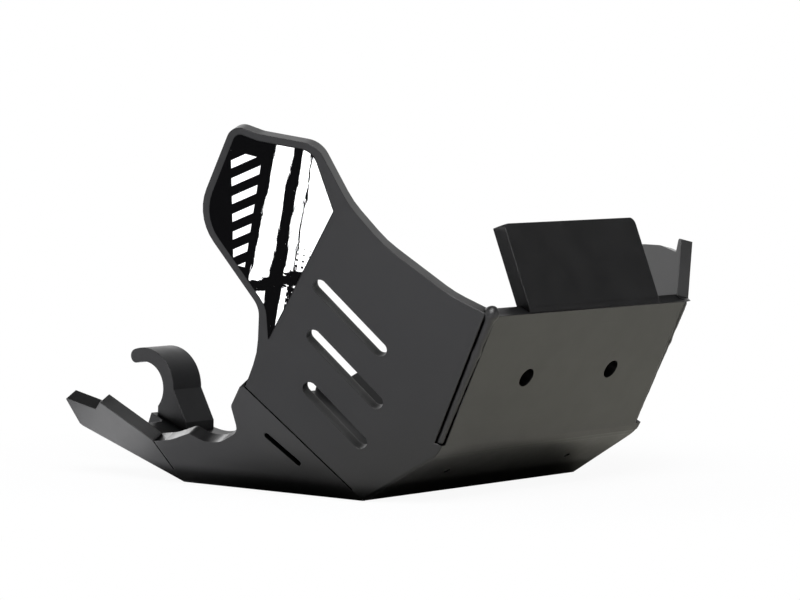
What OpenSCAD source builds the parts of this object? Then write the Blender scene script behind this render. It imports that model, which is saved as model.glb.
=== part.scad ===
// Skid plate for an off-road motorcycle: one thick plastic sheet, cut flat, folded hot into a tray
// and welded at its two front corners, with a bolted rear hook and a decal on the tall wing.
// X points forward, Y to the left, Z up. The origin is the centre of the bottom panel's underside.

/* [Sheet] */
// Thickness of the plastic sheet
sheet_t = 8; // [6:0.5:10]
// Outer radius of the soft folds in the spine
fold_r = 11; // [10:0.5:16]
// Outer radius of the bend between the nose and front panels
front_bend_r = 24; // [14:1:30]
// Outer radius of the folds along the sides
side_fold_r = 3; // [2:0.5:8]
// Width of the cuts that part the side flaps
kerf = 0.9; // [0.5:0.1:2]

/* [Spine] */
// Width of the bottom panel between its side folds
bottom_w = 193; // [170:1:220]
// Length of the bottom panel
bottom_len = 131; // [115:1:160]
// Length of the rear panel
rear_len = 75; // [65:1:90]
// Rise of the rear panel from level
rear_rise = 21.5; // [12:0.5:26]
// Depth of the recess in the rear edge that clears the frame tube
recess_depth = 7; // [5:0.5:9]
// Width of that recess
recess_w = 160; // [120:1:165]
// Length of the nose panel
nose_len = 50.5; // [46:0.5:58]
// Rise of the nose panel from level
nose_rise = 32; // [26:1:38]
// Length of the front panel
front_len = 86.5; // [76:0.5:96]
// Rise of the front panel from level
front_rise = 63; // [58:1:70]

/* [Top tab] */
// Width of the tab that folds back from the front panel
tab_w = 120; // [90:1:140]
// Length of the tab above its fold
tab_len = 51; // [35:1:60]
// Lean of the tab back from upright
tab_lean = 22; // [10:1:30]
// Radius of the tab's upper corners
tab_corner_r = 4; // [2:0.5:10]
// Distance of the tab and the mounting holes from the plate's middle, to the left
front_off = 2.5; // [-6:0.5:6]

/* [Side flaps] */
// Toe-out of the front wings, wider towards the rear
wing_toe = 20; // [14:1:24]
// Outward lean of the front wings
wing_lean = 13; // [8:1:18]
// How much wider the left front corner is folded than the right one, at its lower end
left_spread = 9.5; // [4:0.5:12]
// Outward lean of the middle flaps
side_lean = 30; // [22:1:38]
// Toe-in of the rear flaps
tail_toe = 6.5; // [2:0.5:10]
// Outward lean of the rear flaps
tail_lean = 32; // [24:1:38]

/* [Horn on the right wing] */
// Height of the horn's top, up the wing from the nose fold
horn_h = 204.4; // [185:1:220]
// Distance of the horn's rearmost point behind the nose fold
horn_reach = 84.5; // [78:0.5:96]
// Width of the horn along its top
horn_top_w = 47; // [40:1:56]
// Height of the narrow neck below the horn
neck_h = 107.4; // [100:1:116]
// Distance of the neck behind the nose fold
neck_reach = 52; // [48:0.5:58]
// Height of the left wing, which has no horn
low_wing_h = 135.4; // [126:1:150]

/* [Vents and holes] */
// Width of the long vents in the wings
vent_w = 8; // [5:0.5:9]
// Length of the long vents between the centres of their round ends
vent_len = 46; // [36:1:50]
// Slope of the vents, downwards to the front
vent_slope = 47; // [40:1:55]
// Width of the short vents in the middle flaps
small_vent_w = 4; // [3:0.5:6]
// Length of the short vents between the centres of their round ends
small_vent_len = 22; // [16:1:28]
// Diameter of the two mounting holes in the front panel
mount_hole_d = 11; // [8:0.5:14]
// Distance between the two mounting holes
mount_hole_gap = 78; // [60:1:100]
// Height of the mounting holes above the front panel's lower fold
mount_hole_up = 45.5; // [36:0.5:56]
// Diameter of the drain holes in the nose panel
drain_d = 4; // [3:0.5:8]
// Distance between the drain holes
drain_gap = 110; // [80:1:130]
// Distance of the drain holes from the bottom fold
drain_up = 28.5; // [22:0.5:36]

/* [Corner welds] */
// Radius of the weld beads along the front corners
weld_r = 3.7; // [3:0.1:4.5]

/* [Rear hook] */
// Diameter of the tube that the hook takes
hook_bore_d = 30; // [24:1:34]
// Thickness of the hook's arm
hook_t = 8; // [6:0.5:9]
// Width of the hook across the plate
hook_w = 24; // [20:1:30]
// Height of the hook's bore above the underside
hook_up = 46.5; // [45:0.5:53]
// Distance of the hook's bore behind the fold of the rear panel
hook_back = 68.5; // [64:0.5:74]
// Distance of the hook's middle from the plate's middle
hook_side = 43; // [20:1:60]
// Length of the hook's foot along the rear panel
hook_foot_len = 23.5; // [19:0.5:26]
// Height of the hook's foot at its front
hook_toe_h = 5.5; // [3:0.5:8]
// Angle at which the hook's lip ends, from level
hook_lip = 110; // [95:1:120]

/* [Hook screws] */
// Thread diameter of the two countersunk screws
screw_d = 5; // [4:0.5:6]
// Head diameter of the screws
screw_head_d = 10; // [9:0.5:11]
// Distance between the screws
screw_gap = 12; // [11:0.5:14]
// Length of the screws, head included
screw_len = 16; // [14:1:18]

/* [Decal] */
// Thickness of the vinyl decal
decal_t = 0.5; // [0.3:0.1:1]
// Margin between the decal and the horn's edge
decal_margin = 4; // [3:0.5:7]
// Depth of the decal's lower tip below the neck
decal_tip_h = 17.5; // [10:0.5:22]
// Depth of the decal's front corner below the horn's top
decal_front_h = 42.5; // [36:0.5:50]

/* [Hidden] */
$fn = 48;

// Vectors
function unit(v) = v / norm(v);
function dir(a) = [cos(a), 0, sin(a)];

// Outer corner points of the spine, from the rear edge to the tab's top
half_w = bottom_w / 2;
nose_fold = [bottom_len / 2, 0, 0];
rear_fold = [-bottom_len / 2, 0, 0];
rear_end = rear_fold + rear_len * dir(180 - rear_rise);
front_fold = nose_fold + nose_len * dir(nose_rise);
front_top = front_fold + front_len * dir(front_rise);
tab_end = front_top + tab_len * dir(90 + tab_lean);

// Directions of the panels in order, as angles from level
spine_points = [rear_end, rear_fold, nose_fold, front_fold, front_top, tab_end];
spine_angles = [-rear_rise, 0, nose_rise, front_rise, 90 + tab_lean];

// Each side flap is a flat plate: it stands on a corner of the bottom, turned by a toe angle and
// leaned out. Its own x runs forward, y runs up the flap and z points outwards.
nose_corner = nose_fold - [0, half_w, 0];
rear_corner = rear_fold - [0, half_w, 0];
WING = [nose_corner, wing_toe, wing_lean];
SIDE = [nose_corner, 0, side_lean];
TAIL = [rear_corner, -tail_toe, tail_lean];

function flap_x(f) = [cos(f[1]), sin(f[1]), 0];
function flap_y(f) = [sin(f[1]) * sin(f[2]), -cos(f[1]) * sin(f[2]), cos(f[2])];
function flap_out(f) = cross(flap_x(f), flap_y(f));
function in_flap(f, p) = [(p - f[0]) * flap_x(f), (p - f[0]) * flap_y(f)];

// A point of the spine's outer face carried sideways to the outer face of a flap
function at_flap(f, p) =
    let (n = flap_out(f)) [p.x, f[0].y - ((p.x - f[0].x) * n.x + (p.z - f[0].z) * n.z) / n.y, p.z];

rear_tip = at_flap(TAIL, rear_end);
front_corner = at_flap(WING, front_fold);
top_corner = at_flap(WING, front_top);

// On the left the corner is folded wider: a facet takes the place of the wing's lower front triangle
left_corner = front_corner - [0, left_spread, 0];
facet_out = unit(cross(left_corner - nose_corner, top_corner - nose_corner));
FACET = [nose_corner, atan2(facet_out.x, -facet_out.y), -asin(facet_out.z)];

// The cuts between two flaps run up along the line where their outer faces meet
function seam(f, g) = let (s = unit(cross(flap_out(f), flap_out(g)))) s.z > 0 ? s : -s;
wing_seam = seam(WING, SIDE);
tail_seam = seam(SIDE, TAIL);
wing_seam_len = 89;
tail_seam_len = 29;
seam_start = 9;
seam_past = 12;

// Outlines with round corners: each corner is [x, y, radius], in steps of at most a few degrees
arc_step = 9;
fold_step = 4;
function corner_arc(a, b, c, r, step) =
    let (
        u = unit(a - b), v = unit(c - b), half = acos(u * v) / 2,
        middle = b + unit(u + v) * r / sin(half),
        from = b + u * r / tan(half) - middle, to = b + v * r / tan(half) - middle,
        start = atan2(from.y, from.x),
        turn = (atan2(to.y, to.x) - start + 540) % 360 - 180,
        steps = max(2, ceil(abs(turn) / step))
    ) [for (i = [0 : steps]) middle + r * [cos(start + turn * i / steps), sin(start + turn * i / steps)]];
function xy(p) = [p.x, p.y];
function rounded(p, step = arc_step) = [
    for (i = [0 : len(p) - 1])
        let (a = p[(i + len(p) - 1) % len(p)], b = p[i], c = p[(i + 1) % len(p)])
            each b[2] > 0 ? corner_arc(xy(a), xy(b), xy(c), b[2], step) : [xy(b)]
];
function corner(p, r = 0) = [p.x, p.y, r];

wing_seam_top = wing_seam_len * [wing_seam * flap_x(WING), wing_seam * flap_y(WING)];
wing_front_low = in_flap(WING, front_corner);
wing_front_top = in_flap(WING, top_corner);

// Both wings share their foot, front corner and neck; the brow is the curve above the front corner
brow = wing_front_top + [-22, 10.5];
wing_foot = [[0, 0, 0], corner(wing_front_low, front_bend_r), corner(wing_front_top)];
left_foot = [[0, 0, 0], corner(wing_front_top)];
wing_neck = [[-neck_reach, neck_h, 14], [-neck_reach - 3, neck_h - 25.5, 50], corner(wing_seam_top)];

// Right wing: up the front corner, back along the brow, round the horn and down to the cut
horn_front = 72 - horn_reach;
horn_rear = horn_front - horn_top_w;
horn_crest = horn_front - 0.68 * horn_top_w;
right_wing = concat(wing_foot, [
    corner(brow, 60),
    [20.5, neck_h + 37, 60],
    [3, neck_h + 58, 50],
    [horn_front, horn_h - 6.5, 14],
    [horn_crest, horn_h - 1.3, 15],
    [horn_rear, horn_h + 4, 8],
    [-horn_reach, horn_h - 47, 30],
], wing_neck);

// The facet's outline laps a little past its crease with the left wing
facet_low = in_flap(FACET, left_corner);
facet_top = in_flap(FACET, top_corner);
facet_lap = 1.8;
crease = unit(facet_top);
facet = [
    [0, 0, 0],
    corner(facet_low),
    corner(facet_top),
    corner(facet_top - 3 * crease + facet_lap * [-crease.y, crease.x]),
    corner(12 * crease + facet_lap * [-crease.y, crease.x]),
];

// Left wing: a narrow post above the front corner, then a low top edge
post_foot = wing_front_top + [-3, 1.5];
post_front = wing_front_top.x - 9.8;
post_rear = post_front - 2.6;
left_wing = concat(left_foot, [
    corner(post_foot),
    [post_front, low_wing_h + 4.7, 0],
    [post_rear, low_wing_h + 4.9, 1],
    [post_rear, low_wing_h - 3, 1],
    [50, low_wing_h + 0.2, 12],
    [32, low_wing_h, 16],
    [8, low_wing_h - 8, 60],
    [-28, low_wing_h - 19, 60],
], wing_neck);

side_seam_top = wing_seam_len * [wing_seam * flap_x(SIDE), wing_seam * flap_y(SIDE)];
side_rear_top = in_flap(SIDE, rear_corner)
    + tail_seam_len * [tail_seam * flap_x(SIDE), tail_seam * flap_y(SIDE)];

// Middle flap: high beside the wing, a hollow behind it, then low with one small peak
side_flap = [
    [0, 0, 0],
    corner(side_seam_top),
    corner(side_seam_top + [-3.5, 0.4], 1.5),
    corner(side_seam_top + [-16, -13.5], 5),
    corner(side_seam_top + [-18.4, -31], 10),
    corner(side_rear_top + [50, 3], 22),
    corner(side_rear_top + [38, 3.4], 14),
    corner(side_rear_top + [30.7, 8], 6),
    corner(side_rear_top + [14, 2], 40),
    corner(side_rear_top),
    corner(in_flap(SIDE, rear_corner)),
];

tail_seam_top = tail_seam_len * [tail_seam * flap_x(TAIL), tail_seam * flap_y(TAIL)];
tail_low = in_flap(TAIL, rear_tip);

// Rear flap: rises to a tip at the rear edge, with one step in its top edge
right_tip = [19.6, 1];
left_tip = [26.1, 4];
function tail_flap(tip) = [
    [0, 0, 0],
    corner(tail_low + [1.6, -0.8]),
    corner(tail_low + [-0.4, 1.8]),
    corner(tail_low + [-2.2, tip[0]], tip[1]),
    corner(tail_low + [20.8, 13.6], 1),
    corner(tail_low + [27.8, 19.1], 1),
    corner(tail_seam_top),
];

// Vents from the top down: centre of the upper end of each, in the wing's own plane. The left wing
// is too low for the top one.
vent_tops = [[-16.5, 120], [-22, 92], [-26.5, 62.5]];
vent_lens = [vent_len, vent_len + 2, vent_len - 7];
right_vents = [0, 1, 2];
left_vents = [1, 2];
small_vent_top = [-52.5, 38];

// Inner corners of the spine's section: the outer ones moved in by the sheet's thickness
function inward(i) =
    let (
        last = len(spine_angles) - 1,
        a = spine_angles[max(i - 1, 0)], b = spine_angles[min(i, last)],
        n = dir(a + 90), m = dir(b + 90)
    ) spine_points[i] + sheet_t * (n + m) / (1 + n * m);

// Section of the spine over its first count panels
spine_radii = [0, fold_r, fold_r, front_bend_r, fold_r, 0];
function section(count) = concat(
    [for (i = [0 : count]) [spine_points[i].x, spine_points[i].z, i < count ? spine_radii[i] : 0]],
    [for (i = [count : -1 : 0])
        let (p = i == count ? spine_points[i] + sheet_t * dir(spine_angles[i - 1] + 90) : inward(i))
            [p.x, p.z, i > 0 && i < count ? spine_radii[i] - sheet_t : 0]]
);

// Corner i of an outline moved inwards by a margin, with its radius to suit
function inset(p, i, margin) =
    let (
        n = len(p), a = xy(p[(i + n - 1) % n]), b = xy(p[i]), c = xy(p[(i + 1) % n]),
        u = unit(b - a), v = unit(c - b),
        left = [-u.y - v.y, u.x + v.x] / (1 + u * v),
        convex = u.x * v.y - u.y * v.x > 0
    ) corner(b + margin * left, p[i][2] + (convex ? -margin : margin));

// Places children in the right-hand flap's own plane
module in_plane(f) {
    translate(f[0]) rotate([90 + f[2], 0, f[1]]) children();
}

// Everything on the inner side of a flap's outer face, less a small depth
module inside(f, depth = 0) {
    big = 900;
    in_plane(f) translate([-big / 2, -big / 2, -big - depth]) cube(big);
}

module both_sides() {
    children();
    mirror([0, 1, 0]) children();
}

// A band of sheet along the spine's section, as wide as asked
module band(count, width) {
    rotate([90, 0, 0])
        linear_extrude(width, center = true) polygon(rounded(section(count), fold_step));
}

// The tab's own band, with its upper corners rounded
module tab_band() {
    reach = 200;
    translate([0, front_off, 0]) intersection() {
        band(5, tab_w);
        rotate([90, 0, 90]) translate([0, 0, -reach]) linear_extrude(2 * reach)
            polygon(rounded([
                [-tab_w / 2, -reach, 0],
                [tab_w / 2, -reach, 0],
                [tab_w / 2, tab_end.z, tab_corner_r],
                [-tab_w / 2, tab_end.z, tab_corner_r],
            ]));
    }
}

// The spine is cut to width by the planes of the flaps that stand on it
module spine() {
    skin = 0.5;
    intersection() {
        band(4, 2 * bottom_w);
        inside(WING, skin);
        mirror([0, 1, 0]) inside_facet(skin);
        both_inside(SIDE, skin);
        both_inside(TAIL, skin);
    }
    tab_band();
}

module both_inside(f, depth) {
    intersection() {
        inside(f, depth);
        mirror([0, 1, 0]) inside(f, depth);
    }
}

// The facet's plane bounds only what lies in front of the nose fold
module inside_facet(depth) {
    big = 900;
    union() {
        inside(FACET, depth);
        translate([nose_fold.x - big, -big / 2, -big / 2]) cube(big);
    }
}

module flap(f, outline) {
    in_plane(f) translate([0, 0, -sheet_t]) linear_extrude(sheet_t) polygon(rounded(outline));
}

// The facet's lower and front edges are cut a hair inside the faces of the nose and front panels
module left_facet() {
    far = 300;
    intersection() {
        flap(FACET, facet);
        translate([-0.1, 0, 0.05]) rotate([90, 0, 0]) linear_extrude(2 * bottom_w, center = true) polygon(rounded([
            [nose_fold.x, nose_fold.z, 0],
            [front_fold.x, front_fold.z, front_bend_r],
            [front_top.x, front_top.z, 0],
            [front_top.x - far, front_top.z, 0],
            [nose_fold.x - far, nose_fold.z, 0],
        ], fold_step));
    }
}

module vent(top, length, width) {
    translate(top) rotate(-vent_slope) {
        circle(d = width);
        translate([length, 0]) circle(d = width);
        translate([0, -width / 2]) square([length, width]);
    }
}

// Cuts through a flap, square to its faces
module through(f) {
    in_plane(f) translate([0, 0, -2 * sheet_t]) linear_extrude(3 * sheet_t) children();
}

// Places children with z along an edge and x along the normal n
module along(p, axis, n) {
    w = cross(axis, n);
    multmatrix([
        [n.x, w.x, axis.x, p.x],
        [n.y, w.y, axis.y, p.y],
        [n.z, w.z, axis.z, p.z],
        [0, 0, 0, 1],
    ]) children();
}

// What a soft fold lacks of a sharp edge between two faces with the outward normals n and m
module fold_cut(p, q, n, m, r) {
    axis = unit(q - p);
    turn = atan2(m * cross(axis, n), m * n);
    middle = -r * [1 + cos(turn), sin(turn)] / (1 + cos(turn));
    out = 1.6 * r;
    steps = 6;
    over = 1;
    along(p, axis, n) translate([0, 0, -over]) linear_extrude(norm(q - p) + 2 * over)
        polygon(concat(
            [for (i = [0 : steps]) middle + r * [cos(turn * i / steps), sin(turn * i / steps)]],
            [
                middle + out * [cos(turn), sin(turn)],
                middle + out * [1 + cos(turn), sin(turn)] / (1 + cos(turn)),
                middle + [out, 0],
            ]
        ));
}

// The cut between two flaps, through both, from above their folds to past their top edges
module seam_cut(p, f, g, line, length) {
    n = unit(flap_out(f) - flap_out(g));
    along(p, line, n) translate([-kerf / 2, -2 * sheet_t, seam_start])
        cube([kerf, 4 * sheet_t, length - seam_start + seam_past]);
}

// The weld beads lie in grooves along the front corners: their edges are set_wing back on the flap and
// set_front in on the front panel. Each joint is a flap with the lower end of its edge.
set_wing = 4;
set_front = 3;
RIGHT = [WING, front_corner];
LEFT = [FACET, left_corner];

function weld_axis(w) = unit(top_corner - w[1]);
function weld_low(w) = w[1] + weld_axis(w) * front_bend_r * tan((front_rise - nose_rise) / 2);
function edge_back(w) = set_wing * unit(cross(flap_out(w[0]), weld_axis(w)));
function edge_in(w) = -set_front * unit(cross(dir(front_rise - 90), weld_axis(w)));
function weld_out(w) = unit(cross(edge_in(w) - edge_back(w), weld_axis(w)));
function weld_angle(w) = asin(norm(edge_in(w) - edge_back(w)) / 2 / weld_r);
function weld_centre(w) =
    let (c = (edge_back(w) + edge_in(w)) / 2 - weld_r * cos(weld_angle(w)) * weld_out(w))
        [c * weld_out(w), c * cross(weld_axis(w), weld_out(w))];
function weld_arc(w, start, end, steps) = [
    for (i = [0 : steps])
        let (a = start + (end - start) * i / steps) weld_centre(w) + weld_r * [cos(a), sin(a)]
];
weld_steps = 14;
groove_steps = 8;
function weld_outside(w) = weld_arc(w, weld_angle(w), 360 - weld_angle(w), weld_steps);
function weld_inside(w) = weld_arc(w, -weld_angle(w), weld_angle(w), groove_steps);

module weld_prism(w, outline) {
    along(weld_low(w), weld_axis(w), weld_out(w)) linear_extrude(norm(top_corner - weld_low(w)))
        polygon(outline);
}

module weld_bead(w) {
    inner = weld_inside(w);
    weld_prism(w, concat(weld_outside(w), [for (i = [1 : groove_steps - 1]) inner[i]]));
}

// The groove is open outwards, well past the corner
module weld_groove(w) {
    reach = 3.2;
    inner = weld_inside(w);
    mouth = [for (e = [inner[0], inner[groove_steps]]) weld_centre(w) + reach * (e - weld_centre(w))];
    weld_prism(w, concat(weld_outside(w), mouth));
}

module vents(which) {
    through(WING) for (i = which) vent(vent_tops[i], vent_lens[i], vent_w);
}

module side_cuts(w) {
    fold_cut(nose_corner, w[1], flap_out(w[0]), dir(nose_rise - 90), side_fold_r);
    fold_cut(rear_corner, nose_corner, flap_out(SIDE), [0, 0, -1], side_fold_r);
    fold_cut(rear_tip, rear_corner, flap_out(TAIL), dir(-90 - rear_rise), side_fold_r);
    seam_cut(nose_corner, WING, SIDE, wing_seam, wing_seam_len);
    seam_cut(rear_corner, SIDE, TAIL, tail_seam, tail_seam_len);
    weld_groove(w);
    through(SIDE) vent(small_vent_top, small_vent_len, small_vent_w);
}

// Holes in the nose and front panels, square to their faces
module spine_holes() {
    for (side = [-1, 1]) {
        translate(front_fold + mount_hole_up * dir(front_rise)
            + [0, front_off + side * mount_hole_gap / 2, 0])
            rotate([0, -front_rise - 180, 0]) cylinder(d = mount_hole_d, h = 3 * sheet_t, center = true);
        translate(nose_fold + drain_up * dir(nose_rise) + [0, side * drain_gap / 2, 0])
            rotate([0, -nose_rise, 0]) cylinder(d = drain_d, h = 3 * sheet_t, center = true);
    }
}

// The rear panel ends early between its flaps, where the frame tube lies in the hook
module rear_recess() {
    recess_r = 5;
    low = rear_len - recess_depth;
    far = rear_len + recess_depth;
    translate(rear_fold) rotate([0, 180 + rear_rise, 0]) linear_extrude(4 * sheet_t, center = true)
        polygon(rounded([
            [low, -recess_w / 2, recess_r],
            [far, -recess_w / 2, 0],
            [far, recess_w / 2, 0],
            [low, recess_w / 2, recess_r],
        ]));
}

module plate() {
    color([0.07, 0.07, 0.075]) difference() {
        union() {
            spine();
            flap(WING, right_wing);
            mirror([0, 1, 0]) flap(WING, left_wing);
            mirror([0, 1, 0]) left_facet();
            both_sides() flap(SIDE, side_flap);
            flap(TAIL, tail_flap(right_tip));
            mirror([0, 1, 0]) flap(TAIL, tail_flap(left_tip));
        }
        side_cuts(RIGHT);
        mirror([0, 1, 0]) side_cuts(LEFT);
        vents(right_vents);
        mirror([0, 1, 0]) vents(left_vents);
        spine_holes();
        rear_recess();
        hook_screw_holes();
    }
}

module right_weld() {
    color([0.12, 0.12, 0.13]) weld_bead(RIGHT);
}

module left_weld() {
    color([0.12, 0.12, 0.13]) mirror([0, 1, 0]) weld_bead(LEFT);
}

// Points on the rear panel: s back from the rear fold along the panel, h above its inner face
function on_rear(s, h) =
    rear_fold + s * dir(180 - rear_rise) + (sheet_t + h) * dir(90 - rear_rise);
function rear_s(x) = (rear_fold.x + sheet_t * sin(rear_rise) - x) / cos(rear_rise);

// The hook's foot ends under the bore, foot_set in front of the bore's middle
bore = [rear_fold.x - hook_back, hook_up];
hook_r = hook_bore_d / 2 + hook_t;
foot_set = 11;
foot_rear = rear_s(bore.x + foot_set);
foot_front = foot_rear - hook_foot_len;

module hook_profile() {
    a = on_rear(foot_front, 0);
    b = on_rear(foot_rear, 0);
    lip_r = (hook_bore_d + hook_t) / 2;
    far = 3 * hook_r;
    difference() {
        union() {
            polygon([
                [a.x, a.z],
                [a.x, a.z + hook_toe_h],
                [bore.x + hook_r, bore.y],
                [b.x, bore.y],
                [b.x, b.z],
            ]);
            intersection() {
                translate(bore) circle(r = hook_r);
                polygon([
                    bore,
                    bore + far * [1, 0],
                    bore + far * [1, 1],
                    bore + far * [0, 1],
                    bore + far * [cos(hook_lip), sin(hook_lip)],
                ]);
            }
            translate(bore + lip_r * [cos(hook_lip), sin(hook_lip)]) circle(d = hook_t);
        }
        translate(bore) circle(d = hook_bore_d);
    }
}

// Places children at each screw, on the rear panel's outer face, with z along the screw
module at_screws() {
    middle = on_rear(foot_front + hook_foot_len / 2, -sheet_t);
    for (side = [-1, 1])
        translate([middle.x, -hook_side + side * screw_gap / 2, middle.z])
            rotate([0, rear_rise, 0]) children();
}

// A countersunk screw, wider by play along its shank and carried on below its head
module screw_shape(play = 0, below = 0) {
    head_r = screw_head_d / 2;
    shank_r = (screw_d + play) / 2;
    rotate_extrude() polygon([
        [0, -below],
        [head_r, -below],
        [head_r, 0],
        [shank_r, head_r - shank_r],
        [shank_r, screw_len],
        [0, screw_len],
    ]);
}

screw_play = 0.5;
screw_tip_gap = 0.5;

module hook_screw_holes() {
    at_screws() screw_shape(screw_play, 1);
}

module rear_hook() {
    color([0.09, 0.09, 0.1]) difference() {
        translate([0, -hook_side, 0]) rotate([90, 0, 0])
            linear_extrude(hook_w, center = true) hook_profile();
        at_screws() cylinder(d = screw_d, h = screw_len + screw_tip_gap);
    }
}

module hook_screws() {
    color([0.45, 0.46, 0.48]) at_screws() screw_shape();
}

// The decal follows the horn's edge from its front corner round to its neck, and ends at a straight
// slanted edge in front
horn_corners = [6, 7, 8, 9, 10];
decal_tip = [-neck_reach + decal_margin, neck_h - decal_tip_h];
decal_front = [-1.5 * decal_margin, horn_h - decal_front_h];
decal_outline = concat(
    [corner(decal_tip), corner(decal_front)],
    [for (i = horn_corners) inset(right_wing, i, decal_margin)]
);

module decal() {
    color([0.85, 0.85, 0.85]) in_plane(WING) linear_extrude(decal_t) polygon(rounded(decal_outline));
}

plate();
right_weld();
left_weld();
rear_hook();
hook_screws();
decal();
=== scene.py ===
# A black plastic skid plate on a white floor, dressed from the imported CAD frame.
import math

import bmesh
import bpy
import numpy as np
from mathutils import Matrix, Vector


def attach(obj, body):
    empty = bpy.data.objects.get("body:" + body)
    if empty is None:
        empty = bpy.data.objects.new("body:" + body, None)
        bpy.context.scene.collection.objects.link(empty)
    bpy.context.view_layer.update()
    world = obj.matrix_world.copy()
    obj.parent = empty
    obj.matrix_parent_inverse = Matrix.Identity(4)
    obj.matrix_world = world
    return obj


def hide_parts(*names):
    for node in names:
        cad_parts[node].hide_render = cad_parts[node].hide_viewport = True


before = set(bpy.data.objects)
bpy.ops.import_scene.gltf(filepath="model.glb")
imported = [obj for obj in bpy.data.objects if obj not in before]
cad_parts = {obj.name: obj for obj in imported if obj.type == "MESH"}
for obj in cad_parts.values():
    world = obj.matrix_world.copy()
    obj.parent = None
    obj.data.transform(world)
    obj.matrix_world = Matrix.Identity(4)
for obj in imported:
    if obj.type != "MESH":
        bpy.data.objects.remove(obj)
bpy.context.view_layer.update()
scene = bpy.context.scene
mm = 0.001
print("frame: nodes", sorted(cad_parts))


def newMaterial(name):
    mat = bpy.data.materials.new(name)
    mat.use_nodes = True
    mat.node_tree.nodes.clear()
    return mat, mat.node_tree


def addNode(tree, kind, settings=None, **inputs):
    # makes a node, sets its own properties, then sets or links its inputs by name (spaces as _) or number
    node = tree.nodes.new("ShaderNode" + kind)
    for key, value in (settings or {}).items():
        setattr(node, key, value)
    for key, value in inputs.items():
        byNumber = key[0] == "i" and key[1:].isdigit()
        socket = node.inputs[int(key[1:])] if byNumber else node.inputs[key.replace("_", " ")]
        if isinstance(value, bpy.types.NodeSocket):
            tree.links.new(value, socket)
        else:
            socket.default_value = value
    return node


def objectCoords(tree, scale=(1, 1, 1), turn=(0, 0, 0)):
    # the piece's own coordinates in metres, turned and stretched
    coords = addNode(tree, "TexCoord").outputs["Object"]
    return addNode(tree, "Mapping", Vector=coords, Scale=scale, Rotation=turn).outputs[0]


def noise(tree, vector, scale, detail, roughness):
    node = addNode(tree, "TexNoise", Vector=vector, Scale=scale, Detail=detail, Roughness=roughness)
    return node.outputs["Fac"]


def maths(tree, operation, a, b=0.0, c=0.0):
    return addNode(tree, "Math", {"operation": operation}, i0=a, i1=b, i2=c).outputs[0]


def vectorMaths(tree, operation, a, b=(0, 0, 0)):
    node = addNode(tree, "VectorMath", {"operation": operation}, i0=a, i1=b)
    return node.outputs["Value" if operation in ("DOT_PRODUCT", "LENGTH") else "Vector"]


def between(tree, value, low, high, toLow=0.0, toHigh=1.0, smooth=False):
    # toLow up to low, toHigh from high on, and a straight or smooth ramp from one to the other
    settings = {"interpolation_type": "SMOOTHSTEP" if smooth else "LINEAR"}
    return addNode(tree, "MapRange", settings, Value=value, From_Min=low, From_Max=high, To_Min=toLow,
                   To_Max=toHigh).outputs[0]


def mixColour(tree, share, a, b):
    return addNode(tree, "Mix", {"data_type": "RGBA"}, i0=share, i6=a, i7=b).outputs[2]


def bump(tree, height, distance, normal):
    return addNode(tree, "Bump", Height=height, Distance=distance, Strength=1.0, Normal=normal).outputs[0]


def surface(tree, shader):
    addNode(tree, "OutputMaterial", Surface=shader)


# each noise is its scale, its detail and its roughness; each depth is in metres
sheet = {
    "colour": (0.0055, 0.0055, 0.0059, 1), "dusty": (0.0078, 0.0078, 0.0081, 1),
    "dustNoise": (22.0, 4.0, 0.5), "dustFrom": (0.4, 0.75),
    "roughness": (0.30, 0.38), "rubNoise": (60.0, 5.0, 0.6), "rubFrom": (0.3, 0.7),
    "edgeRound": 0.0007, "edgeSamples": 4,
    "waveNoise": (9.0, 1.0, 0.5), "waveDepth": 0.0002,
    "grainNoise": (900.0, 2.0, 0.5), "grainDepth": 0.000005,
    "scratchNoise": (240.0, 2.0, 0.6), "scratchFrom": (0.62, 0.70), "scratchDepth": 0.000008,
    "scratchStretch": (1.0, 0.04, 1.0), "scratchTurn": (0.3, 0.6, 0.9),
    "shine": 0.5, "index": 1.5,
    # painted shade in crevices: how far a crevice is felt, where the shade starts and ends, what is left of
    # the colour, and the black painted there
    "creviceShadeReach": 0.013, "creviceShadeFrom": (0.52, 0.96), "creviceShadeLeast": 0.08, "creviceShadeSamples": 8,
    "creviceShadeColour": (0.0005, 0.0005, 0.0005, 1),
}


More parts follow.
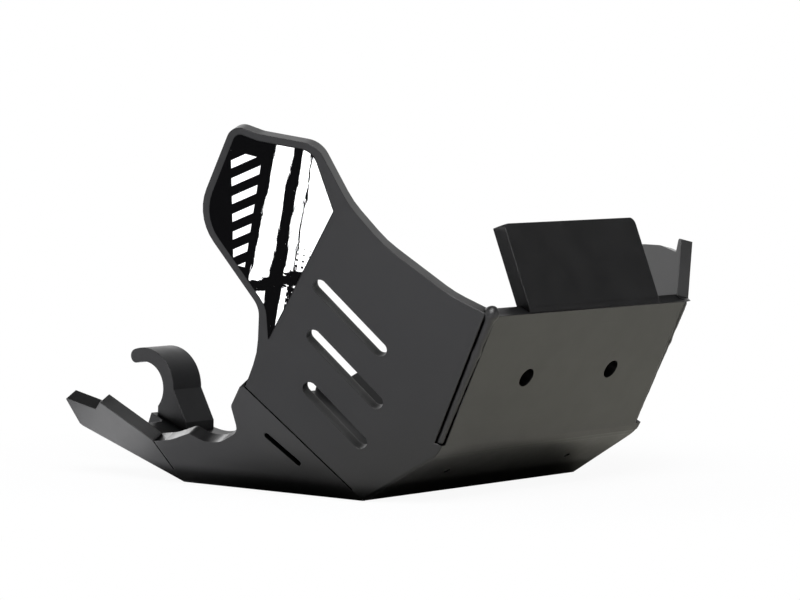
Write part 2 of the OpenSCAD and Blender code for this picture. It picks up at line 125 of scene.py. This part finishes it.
def blackPlastic(name, look):
    # base colour, roughness and normals each follow noise of the object's own coordinates: slow waves for
    # the rolled sheet, a fine grain, and long thin scratches from noise stretched along one direction. Colour
    # and shine are both darkened where the surface is closed in: in the vents, the cuts and along the welds.
    # This is painted shade, read from ambient occlusion
    mat, tree = newMaterial(name)
    place = objectCoords(tree)
    samples = {"samples": look["creviceShadeSamples"]}
    # painted shade: ambient occlusion darkens the colour and the shine wherever the surface is closed in
    free = addNode(tree, "AmbientOcclusion", samples, Distance=look["creviceShadeReach"]).outputs["AO"]
    unshaded = between(tree, free, *look["creviceShadeFrom"], look["creviceShadeLeast"], 1.0, True)
    dust = between(tree, noise(tree, place, *look["dustNoise"]), *look["dustFrom"])
    colour = mixColour(tree, dust, look["colour"], look["dusty"])
    colour = mixColour(tree, unshaded, look["creviceShadeColour"], colour)
    rough = between(tree, noise(tree, place, *look["rubNoise"]), *look["rubFrom"], *look["roughness"])
    stretched = objectCoords(tree, look["scratchStretch"], look["scratchTurn"])
    scratch = between(tree, noise(tree, stretched, *look["scratchNoise"]), *look["scratchFrom"])
    normal = addNode(tree, "Bevel", {"samples": look["edgeSamples"]}, Radius=look["edgeRound"]).outputs[0]
    normal = bump(tree, noise(tree, place, *look["waveNoise"]), look["waveDepth"], normal)
    normal = bump(tree, noise(tree, place, *look["grainNoise"]), look["grainDepth"], normal)
    normal = bump(tree, scratch, look["scratchDepth"], normal)
    shine = maths(tree, "MULTIPLY", unshaded, look["shine"])
    shader = addNode(tree, "BsdfPrincipled", Base_Color=colour, Roughness=rough, Normal=normal,
                     IOR=look["index"], Specular_IOR_Level=shine)
    surface(tree, shader.outputs[0])
    return mat


def dress(node, mat):
    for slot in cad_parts[node].material_slots:
        slot.material = mat


def shadeSmooth(mesh):
    mesh.polygons.foreach_set("use_smooth", [True] * len(mesh.polygons))


# where the rear panel's edge is cut back, in millimetres, and how the cut mesh is cleaned and shaded
rearEdge = {
    "cuts": {
        "besideHook": {"front": -97.0, "rear": -142.0, "right": -28.5, "left": 72.0, "round": 9.0},
        "besideFlap": {"front": -115.0, "rear": -142.0, "right": -78.0, "left": -57.5, "round": 5.0},
    },
    "low": -5.0, "high": 45.0, "cornerPoints": 9,
    "joined": 0.01, "flatDegrees": 0.3, "sharpDegrees": 28.0, "faceWeight": 100,
}


def rearCutter(cut, look):
    # an upright prism over the part of the rear panel that is cut away: a rectangle in plan whose two front
    # corners are quarter circles
    turns = np.linspace(0, math.pi / 2, look["cornerPoints"])
    r, front = cut["round"], cut["front"]
    rightCorner = np.column_stack([front - r + r * np.sin(turns), cut["right"] + r - r * np.cos(turns)])
    leftCorner = np.column_stack([front - r + r * np.cos(turns), cut["left"] - r + r * np.sin(turns)])
    plan = np.vstack([[cut["rear"], cut["right"]], rightCorner, leftCorner, [cut["rear"], cut["left"]]])
    count = len(plan)
    verts = np.vstack([np.column_stack([plan, np.full(count, look[end])]) for end in ("low", "high")]) * mm
    around = np.arange(count)
    beside = np.roll(around, -1)
    walls = np.column_stack([around, beside, count + beside, count + around])
    mesh = bpy.data.meshes.new("rearCutter")
    mesh.from_pydata(verts.tolist(), [], [around[::-1].tolist(), (count + around).tolist(), *walls.tolist()])
    return mesh


def joinFlats(mesh, look):
    # merges the vertices that lie together, drops edges without a face, and joins each flat face's triangles
    work = bmesh.new()
    work.from_mesh(mesh)
    bmesh.ops.remove_doubles(work, verts=work.verts, dist=look["joined"] * mm)
    bmesh.ops.delete(work, geom=[e for e in work.edges if not e.link_faces], context="EDGES")
    flat = math.radians(look["flatDegrees"])
    bmesh.ops.dissolve_limit(work, angle_limit=flat, verts=work.verts, edges=work.edges)
    work.to_mesh(mesh)
    work.free()


def cutSheet(look, mat):
    # the folded sheet less one prism on each side of the hook, with its flat faces shaded flat
    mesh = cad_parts["plate"].data.copy()
    joinFlats(mesh, look)
    piece = bpy.data.objects.new("foldedSheet", mesh)
    scene.collection.objects.link(piece)
    cutters = []
    for name, cut in look["cuts"].items():
        cutter = bpy.data.objects.new(name, rearCutter(cut, look))
        scene.collection.objects.link(cutter)
        cutters.append(cutter)
        taken = piece.modifiers.new(name, "BOOLEAN")
        taken.operation, taken.solver, taken.object = "DIFFERENCE", "EXACT", cutter
    shown = bpy.data.meshes.new_from_object(piece.evaluated_get(bpy.context.evaluated_depsgraph_get()))
    piece.modifiers.clear()
    piece.data = shown
    for cutter in cutters:
        bpy.data.objects.remove(cutter)
    joinFlats(shown, look)
    shadeSmooth(shown)
    shown.set_sharp_from_angle(angle=math.radians(look["sharpDegrees"]))
    shown.materials.clear()
    shown.materials.append(mat)
    flat = piece.modifiers.new("flatFaces", "WEIGHTED_NORMAL")
    flat.keep_sharp, flat.weight = True, look["faceWeight"]
    return piece


sheetPlastic = blackPlastic("sheetPlastic", sheet)
dress("plate", sheetPlastic)
foldedSheet = cutSheet(rearEdge, sheetPlastic)
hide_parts("plate")
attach(foldedSheet, "root")
print("sheet cut and dressed")

weld = dict(sheet, colour=(0.007, 0.007, 0.0075, 1), dusty=(0.012, 0.012, 0.0125, 1), roughness=(0.38, 0.5),
            waveNoise=(60.0, 1.0, 0.5), waveDepth=0.0003)
# the bead's line from its lower to its upper corner in millimetres, the way out of the seam, how far each end
# passes its corner, the side that the front panel is on, and whether it ends in a blob
beads = {
    "right_weld": {
        "low": (108.2, -85.74, 34.41), "top": (144.45, -90.03, 105.56), "out": (0.681, -0.623, -0.385),
        "lowEnd": -1.6, "topEnd": 4.6, "front": 1, "blob": 1,
    },
    "left_weld": {
        "low": (108.1, 92.5, 34.08), "top": (144.35, 88.02, 105.23), "out": (0.503, 0.84, -0.203),
        "lowEnd": -1.0, "topEnd": 0.6, "front": -1, "blob": 0,
    },
}
# radius and lean from the lower to the upper end in millimetres; each wave is its size, count and shift; lump
# and blob are a height in millimetres, with their place from the upper end and width as shares of the length
beadShape = {
    "radius": (2.05, 2.9), "aside": (0.1, 0.9), "raised": 0.6, "rings": 110, "capRings": 9, "sides": 28,
    "wobble": 0.12, "waves": ((0.5, 23, 1), (0.3, 57, 0), (0.2, 95, 2)),
    "lump": 0.4, "lumpAt": 0.33, "lumpWide": 0.03, "blob": 1.5, "blobAt": 0.05, "blobWide": 0.034,
}


def beadMesh(name, line, shape):
    # a tube from low to top: each ring's radius is the bead's radius, which grows towards the top, plus a
    # slow sum of sines, one small lump and the blob where the welder stopped, and it falls off like a half
    # circle at both ends, where a point closes it. Towards the top it leans over to the front panel
    low, top, out = (np.array(line[k], float) for k in ("low", "top", "out"))
    axis = (top - low) / np.linalg.norm(top - low)
    low, top = low + axis * line["lowEnd"], top + axis * line["topEnd"]
    length = np.linalg.norm(top - low)
    side = np.cross(axis, out)
    side /= np.linalg.norm(side)
    out = np.cross(side, axis)
    (slim, radius), (lean, topLean), sides = shape["radius"], shape["aside"], shape["sides"]
    cap = radius * (1 - np.cos(np.linspace(0, math.pi / 2, shape["capRings"])))
    straight = np.linspace(radius, length - radius, shape["rings"])[1:-1]
    along = np.concatenate([cap, straight, length - cap[::-1]])
    near = np.minimum(along, length - along)
    fall = np.where(near < radius, np.sqrt(np.clip(1 - (1 - near / radius) ** 2, 0, 1)), 1.0)
    t = along / length
    swell = slim + (radius - slim) * t
    swell += shape["wobble"] * sum(part * np.sin(count * t + shift) for part, count, shift in shape["waves"])
    swell += shape["lump"] * np.exp(-((t - 1 + shape["lumpAt"]) / shape["lumpWide"]) ** 2)
    swell += line["blob"] * shape["blob"] * np.exp(-((t - 1 + shape["blobAt"]) / shape["blobWide"]) ** 2)
    aside = line["front"] * (lean + (topLean - lean) * t)
    middle = low + along[:, None] * axis + aside[:, None] * side + shape["raised"] * out
    turn = np.linspace(0, 2 * math.pi, sides, endpoint=False)[:, None]
    size = (swell * fall)[1:-1, None, None]
    rings = middle[1:-1, None, :] + size * (np.cos(turn) * out + np.sin(turn) * side)
    verts = np.vstack([rings.reshape(-1, 3), middle[0], middle[-1]]) * mm
    around = np.arange(sides)
    beside = np.roll(around, -1)
    start = np.arange(len(rings))[:, None] * sides
    here, above = start[:-1], start[1:]
    quads = np.stack([here + around, here + beside, above + beside, above + around], axis=-1).reshape(-1, 4)
    lowPoint, topPoint = (np.full(sides, len(verts) - back) for back in (2, 1))
    lowFan = np.column_stack([lowPoint, beside, around])
    topFan = np.column_stack([topPoint, start[-1] + around, start[-1] + beside])
    mesh = bpy.data.meshes.new(name)
    mesh.from_pydata(verts.tolist(), [], quads.tolist() + lowFan.tolist() + topFan.tolist())
    shadeSmooth(mesh)
    mesh.update()
    return mesh


weldPlastic = blackPlastic("weldPlastic", weld)
for weldNode, line in beads.items():
    dress(weldNode, weldPlastic)
    piece = bpy.data.objects.new(weldNode + "Bead", beadMesh(weldNode + "Bead", line, beadShape))
    piece.data.materials.append(weldPlastic)
    scene.collection.objects.link(piece)
    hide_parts(weldNode)
    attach(piece, "root")
print("welds laid")

hook = dict(sheet, colour=(0.0105, 0.0106, 0.0116, 1), dusty=(0.0145, 0.0145, 0.0157, 1),
            roughness=(0.36, 0.46))
dress("rear_hook", blackPlastic("hookPlastic", hook))

screws = {
    "colour": (0.5, 0.5, 0.52, 1), "roughness": (0.25, 0.45),
    "rubNoise": (400.0, 3.0, 0.5), "rubFrom": (0.3, 0.7),
}


def screwSteel(look):
    # bare steel whose roughness follows fine noise
    mat, tree = newMaterial("screwSteel")
    rub = noise(tree, objectCoords(tree), *look["rubNoise"])
    rough = between(tree, rub, *look["rubFrom"], *look["roughness"])
    shader = addNode(tree, "BsdfPrincipled", Base_Color=look["colour"], Metallic=1.0, Roughness=rough)
    surface(tree, shader.outputs[0])
    return mat


dress("hook_screws", screwSteel(screws))
print("hook dressed")

# all lengths of the pattern are millimetres on the wing, from the pattern's middle; a pair is where an edge
# starts and ends
decal = {
    "black": (0.001, 0.001, 0.0012, 1), "white": (0.93, 0.93, 0.935, 1), "roughness": 0.35, "shine": 0.03,
    # the film also shines with its own colour at this strength: a painted glow, as if evenly lit
    "paintedGlow": 0.4,
    "wingX": (0.93969, 0.34202, 0.0), "wingY": (0.07694, -0.21138, 0.97437), "corner": (65.5, -96.5, 0.0),
    "middle": (-40.0, 150.0), "lean": 0.235,
    # strokes: left and right edge, how ragged they are, where their noise is read, and slope
    "broadStroke": (9.0, 90.0, 6.0, 3.0, 0.0), "narrowStroke": (-8.0, 2.0, 5.0, 7.0, -0.04),
    "thinGap": (13.5, 15.0, 8.0, 11.0, 0.0),
    "strokeBlur": 0.12, "strokeStreak": (0.55, 0.10), "streakNoise": (1.0, 4.0, 0.65),
    "gridShift": 500.0,
    "bars": {
        "pitch": 11.0, "slope": -0.75, "start": (0.0, 0.02), "end": (0.44, 0.46), "reach": (-0.18, -24.0),
        "left": (0.0, 0.25), "right": (-13.3, -13.0), "foot": (-24.0, -23.8), "head": (38.0, 38.2),
    },
    "dots": {"pitch": 3.4, "size": (0.52, 0.02), "shrink": (-42.0, 4.0), "left": 12.0},
    "tipStroke": {
        "streak": (0.12, 4.0), "shift": 17.0, "ragged": 9.0, "slope": -0.5,
        "foot": (-34.2, -34.0), "head": (-26.2, -26.0),
    },
    "specks": {
        "noise": (0.75, 2.0, 0.7), "white": (0.735, 0.745), "black": (0.252, 0.262),
        "whiteAcross": (-10.0, 14.0),
    },
}


def decalFilm(look):
    # two coordinates in millimetres are laid over the wing: up along slanted strokes, and across them. Each
    # stroke is a band of the across coordinate whose edges are moved by noise stretched along the stroke
    mat, tree = newMaterial("decalFilm")
    place = addNode(tree, "TexCoord").outputs["Object"]
    corner = Vector(look["corner"])

    def wingCoordinate(direction, offset):
        # how far the point lies from the wing's corner along direction, less offset
        dot = vectorMaths(tree, "DOT_PRODUCT", place, direction)
        return maths(tree, "MULTIPLY_ADD", dot, 1 / mm, -corner.dot(Vector(direction)) - offset)

    x = wingCoordinate(look["wingX"], look["middle"][0])
    y = wingCoordinate(look["wingY"], look["middle"][1])
    c, s = math.cos(look["lean"]), math.sin(look["lean"])
    across = maths(tree, "MULTIPLY_ADD", x, c, maths(tree, "MULTIPLY", y, -s))
    upward = maths(tree, "MULTIPLY_ADD", x, s, maths(tree, "MULTIPLY", y, c))

    def rise(value, edge):
        return between(tree, value, *edge)

    def drop(value, edge):
        return between(tree, value, *edge, 1.0, 0.0)

    def union(a, b):
        return maths(tree, "MAXIMUM", a, b)

    def overlap(first, *others):
        for other in others:
            first = maths(tree, "MULTIPLY", first, other)
        return first

    def without(a, b):
        return overlap(a, maths(tree, "SUBTRACT", 1.0, b))

    def streak(size, stretch, shift):
        # noise of the two coordinates around nought, stretched along one of them
        flat = addNode(tree, "CombineXYZ", X=maths(tree, "MULTIPLY", across, size),
                       Y=maths(tree, "MULTIPLY", upward, size * stretch), Z=shift).outputs[0]
        return maths(tree, "SUBTRACT", noise(tree, flat, *look["streakNoise"]), 0.5)

    def stroke(left, right, ragged, shift, slope):
        # white where the across coordinate, moved by the noise and the slope, lies between left and right
        moved = maths(tree, "MULTIPLY_ADD", streak(*look["strokeStreak"], shift), ragged, across)
        moved = maths(tree, "MULTIPLY_ADD", upward, slope, moved)
        blur = look["strokeBlur"]
        return overlap(rise(moved, (left - blur, left + blur)), drop(moved, (right - blur, right + blur)))

    def cell(value, pitch):
        # from 0 to 1 in each pitch
        shifted = maths(tree, "ADD", value, look["gridShift"])
        return maths(tree, "FRACT", maths(tree, "MULTIPLY", shifted, 1 / pitch))

    # a broad white stroke with a thin black one in it, and a narrower white stroke to its left
    field = union(stroke(*look["broadStroke"]), stroke(*look["narrowStroke"]))
    field = without(field, stroke(*look["thinGap"]))

    # slanted bars, one in each pitch up the stroke, longer towards the top
    bars = look["bars"]
    step = cell(maths(tree, "MULTIPLY_ADD", across, bars["slope"], upward), bars["pitch"])
    fromLeft = maths(tree, "SUBTRACT", across, maths(tree, "MULTIPLY_ADD", upward, *bars["reach"]))
    bar = overlap(drop(step, bars["end"]), rise(step, bars["start"]), rise(fromLeft, bars["left"]),
                  drop(across, bars["right"]), rise(upward, bars["foot"]), drop(upward, bars["head"]))
    field = union(field, bar)

    # round black dots on a slanted grid, smaller further up, inside the white stroke
    dots = look["dots"]
    a, u = (maths(tree, "SUBTRACT", cell(value, dots["pitch"]), 0.5) for value in (across, upward))
    far = maths(tree, "SQRT", maths(tree, "MULTIPLY_ADD", a, a, maths(tree, "MULTIPLY", u, u)))
    dot = maths(tree, "LESS_THAN", far, between(tree, upward, *dots["shrink"], *dots["size"]))
    field = without(field, overlap(dot, maths(tree, "GREATER_THAN", across, dots["left"])))

    # one ragged black stroke across the lower tip
    tip = look["tipStroke"]
    slanted = maths(tree, "MULTIPLY_ADD", across, tip["slope"], upward)
    crossing = maths(tree, "MULTIPLY_ADD", streak(*tip["streak"], tip["shift"]), tip["ragged"], slanted)
    field = without(field, overlap(rise(crossing, tip["foot"]), drop(crossing, tip["head"])))

    # specks of paint around the strokes, white ones and black ones
    specks = look["specks"]
    flat = addNode(tree, "CombineXYZ", X=across, Y=upward).outputs[0]
    speck = noise(tree, flat, *specks["noise"])
    field = union(field, overlap(rise(speck, specks["white"]), rise(across, specks["whiteAcross"])))
    field = without(field, drop(speck, specks["black"]))

    colour = mixColour(tree, field, look["black"], look["white"])
    # painted glow: the film's colour is emitted as well, so the white stays bright whatever the lamps do
    shader = addNode(tree, "BsdfPrincipled", Base_Color=colour, Roughness=look["roughness"],
                     Emission_Color=colour, Emission_Strength=look["paintedGlow"], Specular_IOR_Level=look["shine"])
    surface(tree, shader.outputs[0])
    return mat


dress("decal", decalFilm(decal))
print("decal dressed")

camera = {
    "azimuth": 38.747, "elevation": 3.786, "roll": 0.579, "distance": 2.10896,
    "target": (0.01165, 0.0, 0.10185), "focalPixels": 3723.06, "imageWidth": 800,
    "sensorWidth": 36.0, "clip": (0.05, 60.0),
}


def makeCamera(cam):
    # the camera stands at the target plus distance along back, and is rolled about its own axis
    a, e, r = (math.radians(cam[k]) for k in ("azimuth", "elevation", "roll"))
    back = Vector((math.sin(a) * math.cos(e), -math.cos(a) * math.cos(e), math.sin(e)))
    right = Vector((math.cos(a), math.sin(a), 0))
    up = back.cross(right)
    right, up = right * math.cos(r) + up * math.sin(r), up * math.cos(r) - right * math.sin(r)
    data = bpy.data.cameras.new("photoCamera")
    data.sensor_width = cam["sensorWidth"]
    data.lens = cam["focalPixels"] * data.sensor_width / cam["imageWidth"]
    data.clip_start, data.clip_end = cam["clip"]
    obj = bpy.data.objects.new("photoCamera", data)
    turn = Matrix((right, up, back)).transposed().to_4x4()
    obj.matrix_world = Matrix.Translation(Vector(cam["target"]) + back * cam["distance"]) @ turn
    scene.collection.objects.link(obj)
    scene.camera = obj


makeCamera(camera)

# a card is a soft spot painted into the floor: its middle, its full and its outer radius in metres, how it is
# squashed and its strength. The glow card is a painted pool of light, the shades are painted shadows beside
# the object, and the warm card is a warm-tinted patch
studio = {
    "floorSize": 3.0, "floorColour": (0.8, 0.8, 0.83, 1), "floorDrop": 0.0004,
    "shadowShare": 0.07, "shadowNear": 0.16, "shadowFar": 0.34,
    "glow": {"at": (-0.145, -0.125, 0.0), "core": 0.015, "reach": 0.06, "squash": (1, 1, 1), "amount": 1.25},
    "shades": [
        {"at": (0.02, -0.092, 0.0), "core": 0.028, "reach": 0.11, "squash": (1, 3, 1), "amount": 0.88},
        {"at": (0.073, 0.0, 0.0), "core": 0.03, "reach": 0.052, "squash": (1, 0.5, 1), "amount": 0.7},
    ],
    "warm": {"at": (0.2, 0.12, 0.0), "core": 0.1, "reach": 0.4, "squash": (1, 1, 1), "amount": 1.0},
    "warmColour": (0.84, 0.82, 0.72, 1),
    "lamps": {
        "key": {"at": (0.78, -0.85, 1.25), "to": (0.0, 0.0, 0.05), "size": (0.9, 0.9), "power": 32.0},
        "fill": {"at": (0.9, -1.9, 0.75), "to": (0.0, 0.0, 0.1), "size": (0.9, 0.7), "power": 8.0},
        "rear": {"at": (-1.7, 0.5, 0.8), "to": (-0.1, 0.0, 0.0), "size": (0.9, 0.7), "power": 6.0},
        "front": {"at": (1.8, 0.5, 0.4), "to": (0.1, 0.0, 0.1), "size": (0.5, 0.4), "power": 2.6},
    },
    "brightSide": (-0.954, 0.301, 0.0), "brightFrom": (-0.1, 0.35), "brightBelow": (0.45, 0.8),
    "worldDark": 0.04, "worldBright": 1.3,
}


def makeFloor(look):
    # to the camera the floor is white, and close to the object a small share of its lit surface shows, so
    # that the object's shadow stays; every other ray sees the lit surface, with a painted pool of light, a
    # warm-tinted patch and painted shadows laid on it beside the object
    half = look["floorSize"] / 2
    corners = np.array([(-1, -1), (1, -1), (1, 1), (-1, 1)]) * half
    mesh = bpy.data.meshes.new("floor")
    mesh.from_pydata(np.column_stack([corners, np.full(4, -look["floorDrop"])]).tolist(), [], [(0, 1, 2, 3)])
    floor = bpy.data.objects.new("floor", mesh)
    scene.collection.objects.link(floor)
    mat, tree = newMaterial("floorWhite")
    byCamera = addNode(tree, "LightPath").outputs["Is Camera Ray"]
    place = objectCoords(tree)

    def card(spot):
        # full inside the card's core and fading out at its reach
        gap = vectorMaths(tree, "SUBTRACT", place, spot["at"])
        gap = vectorMaths(tree, "LENGTH", vectorMaths(tree, "MULTIPLY", gap, spot["squash"]))
        return between(tree, gap, spot["core"], spot["reach"], spot["amount"], 0.0, True)

    tone = mixColour(tree, card(look["warm"]), look["floorColour"], look["warmColour"])
    # painted shadows: dark spots mixed into the floor's tone, which only rays other than the camera's see
    for shade in look["shades"]:
        tone = mixColour(tree, card(shade), tone, (0, 0, 0, 1))
    lit = addNode(tree, "BsdfDiffuse", Color=tone)
    # painted pool of light: the floor itself glows inside the glow card
    bright = addNode(tree, "Emission", Color=(1, 1, 1, 1), Strength=card(look["glow"]))
    unseen = addNode(tree, "AddShader", i0=lit.outputs[0], i1=bright.outputs[0])
    seen = addNode(tree, "BsdfDiffuse", Color=look["floorColour"])
    surfaceLit = addNode(tree, "MixShader", i0=byCamera, i1=unseen.outputs[0], i2=seen.outputs[0])
    far = vectorMaths(tree, "LENGTH", place)
    plain = between(tree, far, look["shadowNear"], look["shadowFar"], 1 - look["shadowShare"], 1.0, True)
    white = addNode(tree, "Emission", Color=(1, 1, 1, 1), Strength=1.0)
    mix = addNode(tree, "MixShader", i0=maths(tree, "MULTIPLY", byCamera, plain), i1=surfaceLit.outputs[0],
                  i2=white.outputs[0])
    surface(tree, mix.outputs[0])
    mesh.materials.append(mat)


def makeWorld(look):
    # the world is white to the camera; to every other ray it is bright low down on one side and dark on the
    # other side and high up
    world = bpy.data.worlds.new("studioWorld")
    scene.world = world
    world.use_nodes = True
    tree = world.node_tree
    tree.nodes.clear()
    coords = addNode(tree, "TexCoord").outputs["Generated"]
    height = addNode(tree, "SeparateXYZ", Vector=coords).outputs[2]
    side = vectorMaths(tree, "DOT_PRODUCT", coords, look["brightSide"])
    low = between(tree, height, *look["brightBelow"], 1.0, 0.0, True)
    sideways = between(tree, side, *look["brightFrom"], 0.0, 1.0, True)
    share = maths(tree, "MULTIPLY", low, sideways)
    glow = between(tree, share, 0.0, 1.0, look["worldDark"], look["worldBright"])
    byCamera = addNode(tree, "LightPath").outputs["Is Camera Ray"]
    strength = addNode(tree, "Mix", {"data_type": "FLOAT"}, i0=byCamera, i2=glow, i3=1.0).outputs[0]
    back = addNode(tree, "Background", Color=(1, 1, 1, 1), Strength=strength)
    addNode(tree, "OutputWorld", Surface=back.outputs[0])


def makeLamp(name, lamp):
    # a rectangular lamp at its place, turned to its aim and hidden from the camera
    data = bpy.data.lights.new(name, "AREA")
    data.shape = "RECTANGLE"
    data.size, data.size_y = lamp["size"]
    data.energy = lamp["power"]
    obj = bpy.data.objects.new(name, data)
    place = Vector(lamp["at"])
    aim = (Vector(lamp["to"]) - place).to_track_quat("-Z", "Y").to_matrix().to_4x4()
    obj.matrix_world = Matrix.Translation(place) @ aim
    obj.visible_camera = False
    scene.collection.objects.link(obj)


makeFloor(studio)
makeWorld(studio)
for lampName, lampLook in studio["lamps"].items():
    makeLamp(lampName, lampLook)
scene.view_settings.view_transform = "Standard"
print("studio ready")
